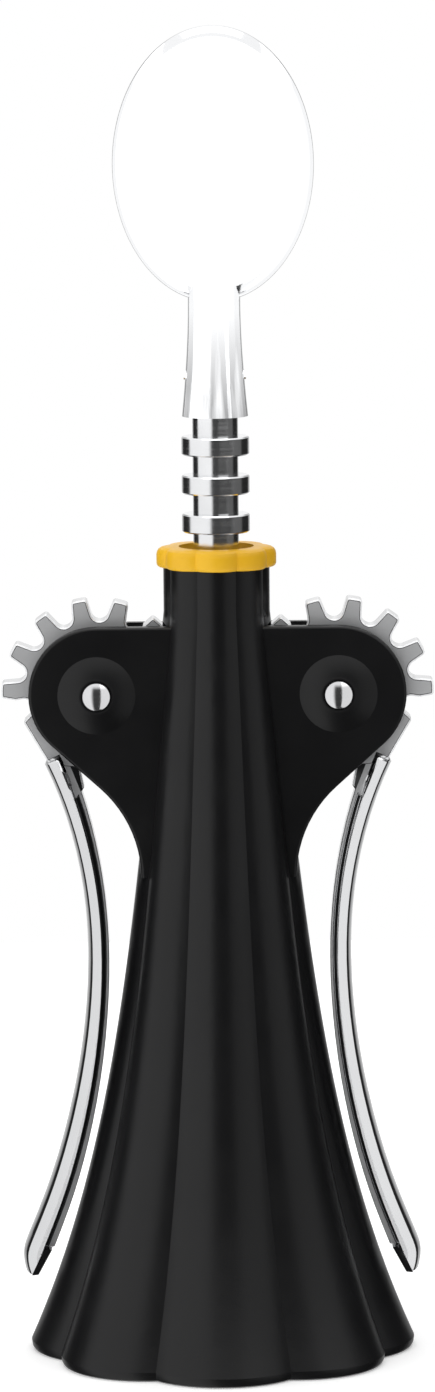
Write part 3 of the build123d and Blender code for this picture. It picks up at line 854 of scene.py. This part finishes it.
class CORKSCREW_OT_worm(bpy.types.Operator):
    """Wire worm and the pin that holds it"""

    bl_idname = "corkscrew.worm"
    bl_label = "Worm"

    def execute(self, context):
        steel = turned_metal("worm_steel", WORM_STEEL, 0.16)
        dress("worm", "wire_worm", steel, WORM_CRISP_ANGLE)
        dress("worm_pin", "worm_cross_pin", steel)
        return {"FINISHED"}


class CORKSCREW_OT_guide(bpy.types.Operator):
    """Bottle guide inside the bell, with its screws"""

    bl_idname = "corkscrew.guide"
    bl_label = "Bottle Guide"

    def execute(self, context):
        bell = context.scene.corkscrew_bell
        plastic = moulded_plastic(
            "guide_plastic", shade(bell.colour, 1.6), bell.roughness + 0.05, bell.grain
        )
        dress("bottle_guide", "bottle_sleeve", plastic)
        zinc = turned_metal("screw_zinc", SCREW_ZINC, 0.28)
        dress("guide_screws", "sleeve_screws", zinc)
        return {"FINISHED"}


# ---------------------------------------------------------------- stage
def softbox(name, place, target, size, power):
    """A rectangular light that faces its target."""
    light = bpy.data.lights.new(name, "AREA")
    light.shape = "RECTANGLE"
    light.size, light.size_y = size
    light.energy = power
    lamp = bpy.data.objects.new(name, light)
    lamp.location = place
    lamp.rotation_euler = (Vector(target) - Vector(place)).to_track_quat("-Z", "Y").to_euler()
    bpy.context.scene.collection.objects.link(lamp)
    return lamp


class CORKSCREW_OT_stage(bpy.types.Operator):
    """Pale floor, soft lights and the camera"""

    bl_idname = "corkscrew.stage"
    bl_label = "Stage"

    def execute(self, context):
        scene = context.scene
        stage = scene.corkscrew_stage
        self.lay_floor()
        self.light_world(scene)
        softbox(*TOP_SOFTBOX, stage.top_light)
        for piece, name, place, size, brightness in CARD_LIGHTS:
            lamp = softbox(name, place, AIMS[piece], size, 1.0)
            lamp.data.energy = stage.card_light * brightness * math.pi * size[0] * size[1]
            lamp.visible_camera = False
            lit = bpy.data.collections.get(f"lit_{piece}") or self.pieces_lit(piece)
            lamp.light_linking.receiver_collection = lit
        self.place_camera(scene, stage)
        scene.view_settings.view_transform = "Standard"
        scene.view_settings.look = "None"
        return {"FINISHED"}

    def pieces_lit(self, piece):
        """A collection of the pieces whose names start with a word."""
        lit = bpy.data.collections.new(f"lit_{piece}")
        for one in bpy.data.objects:
            if one.name.startswith(piece):
                lit.objects.link(one)
        return lit

    def lay_floor(self):
        """A square of pale paper that casts and mirrors nothing onto the piece."""
        shape = bmesh.new()
        bmesh.ops.create_grid(shape, x_segments=1, y_segments=1, size=FLOOR_REACH)
        mesh = bpy.data.meshes.new("floor")
        shape.to_mesh(mesh)
        shape.free()
        material, tree, shader = start_material("floor_paper")
        paper = object_noise(tree, 3.0, 3.0)
        tree.links.new(
            tint(tree, paper, (0.93, 0.93, 0.93), (0.95, 0.95, 0.95)), shader.inputs["Base Color"]
        )
        shader.inputs["Roughness"].default_value = 0.9
        shader.inputs["Specular IOR Level"].default_value = 0.1
        shader.inputs["Emission Color"].default_value = (1, 1, 1, 1)
        shader.inputs["Emission Strength"].default_value = 0.3
        mesh.materials.append(material)
        floor = bpy.data.objects.new("floor", mesh)
        floor.visible_glossy = False
        floor.visible_shadow = False
        bpy.context.scene.collection.objects.link(floor)

    def light_world(self, scene):
        """A white tent with black cards: what the plating mirrors on each side."""
        world = bpy.data.worlds.new("studio")
        scene.world = world
        world.use_nodes = True
        tree = world.node_tree
        tree.nodes.clear()
        looking = coordinates(tree, "Generated")
        to_front = combine(tree, "MULTIPLY", looking["Y"], -1.0)
        bearing = combine(tree, "ARCTAN2", looking["X"], to_front)
        turn = spread(tree, bearing, 0, 1, -math.pi, math.pi)
        above = spread(tree, looking["Z"], 0, 1, *TENT_EDGE)
        tent = tree.nodes.new("ShaderNodeMix")
        tent.data_type = "RGBA"
        tent.inputs["B"].default_value = (1, 1, 1, 1)
        tree.links.new(above, tent.inputs["Factor"])
        tree.links.new(self.card_ring(tree, turn), tent.inputs["A"])
        around = tree.nodes.new("ShaderNodeBackground")
        tree.links.new(tent.outputs["Result"], around.inputs["Color"])
        seen = tree.nodes.new("ShaderNodeBackground")
        seen.inputs["Color"].default_value = (1, 1, 1, 1)
        rays = tree.nodes.new("ShaderNodeLightPath")
        mix = tree.nodes.new("ShaderNodeMixShader")
        tree.links.new(rays.outputs["Is Camera Ray"], mix.inputs["Fac"])
        tree.links.new(around.outputs["Background"], mix.inputs[1])
        tree.links.new(seen.outputs["Background"], mix.inputs[2])
        output = tree.nodes.new("ShaderNodeOutputWorld")
        tree.links.new(mix.outputs["Shader"], output.inputs["Surface"])

    def card_ring(self, tree, turn):
        """The brightness of a ring of cards by bearing."""
        node = tree.nodes.new("ShaderNodeValToRGB")
        ramp = node.color_ramp
        for number, (angle, level) in enumerate(CARDS):
            place = angle / 360 + 0.5
            stop = ramp.elements[number] if number < 2 else ramp.elements.new(place)
            stop.position = place
            stop.color = (level, level, level, 1)
        tree.links.new(turn, node.inputs["Fac"])
        return node.outputs["Color"]

    def place_camera(self, scene, stage):
        """A long lens that looks a little downwards."""
        lens = bpy.data.cameras.new("camera")
        lens.sensor_fit = "VERTICAL"
        lens.sensor_height = FILM_HEIGHT
        lens.lens = FILM_HEIGHT * FOCAL_PIXELS / VIEW_PIXELS
        lens.clip_end = 50
        camera = bpy.data.objects.new("camera", lens)
        place = Vector((0, -stage.camera_distance, stage.camera_height))
        aim = Vector((0, 0, stage.target_height)) - place
        turn = aim.to_track_quat("-Z", "Y").to_matrix().to_4x4()
        roll = Matrix.Rotation(math.radians(CAMERA_ROLL), 4, "Z")
        camera.matrix_world = Matrix.Translation(place) @ turn @ roll
        scene.collection.objects.link(camera)
        scene.camera = camera


# ---------------------------------------------------------------- panel and registration
PIECES = (
    CORKSCREW_OT_bell,
    CORKSCREW_OT_collar,
    CORKSCREW_OT_levers,
    CORKSCREW_OT_pins,
    CORKSCREW_OT_rack,
    CORKSCREW_OT_head,
    CORKSCREW_OT_worm,
    CORKSCREW_OT_guide,
    CORKSCREW_OT_stage,
)
SETTINGS = {
    "corkscrew_bell": BellSettings,
    "corkscrew_collar": CollarSettings,
    "corkscrew_plating": PlatingSettings,
    "corkscrew_stage": StageSettings,
}


class CORKSCREW_PT_panel(bpy.types.Panel):
    """Lists the pieces and their settings"""

    bl_label = "Wing Corkscrew"
    bl_idname = "CORKSCREW_PT_panel"
    bl_space_type = "VIEW_3D"
    bl_region_type = "UI"
    bl_category = "Corkscrew"

    def draw(self, context):
        for name, group in SETTINGS.items():
            box = self.layout.box()
            for setting in group.__annotations__:
                box.prop(getattr(context.scene, name), setting)
        for piece in PIECES:
            self.layout.operator(piece.bl_idname)


def register():
    for group in SETTINGS.values():
        bpy.utils.register_class(group)
    for piece in PIECES:
        bpy.utils.register_class(piece)
    bpy.utils.register_class(CORKSCREW_PT_panel)
    for name, group in SETTINGS.items():
        setattr(bpy.types.Scene, name, PointerProperty(type=group))


def unregister():
    for name in SETTINGS:
        delattr(bpy.types.Scene, name)
    bpy.utils.unregister_class(CORKSCREW_PT_panel)
    for piece in reversed(PIECES):
        bpy.utils.unregister_class(piece)
    for group in reversed(SETTINGS.values()):
        bpy.utils.unregister_class(group)


def main():
    register()
    bpy.ops.corkscrew.bell()
    bpy.ops.corkscrew.collar()
    bpy.ops.corkscrew.levers()
    bpy.ops.corkscrew.pins()
    bpy.ops.corkscrew.rack()
    bpy.ops.corkscrew.head()
    bpy.ops.corkscrew.worm()
    bpy.ops.corkscrew.guide()
    bpy.ops.corkscrew.stage()


if __name__ == "__main__":
    main()
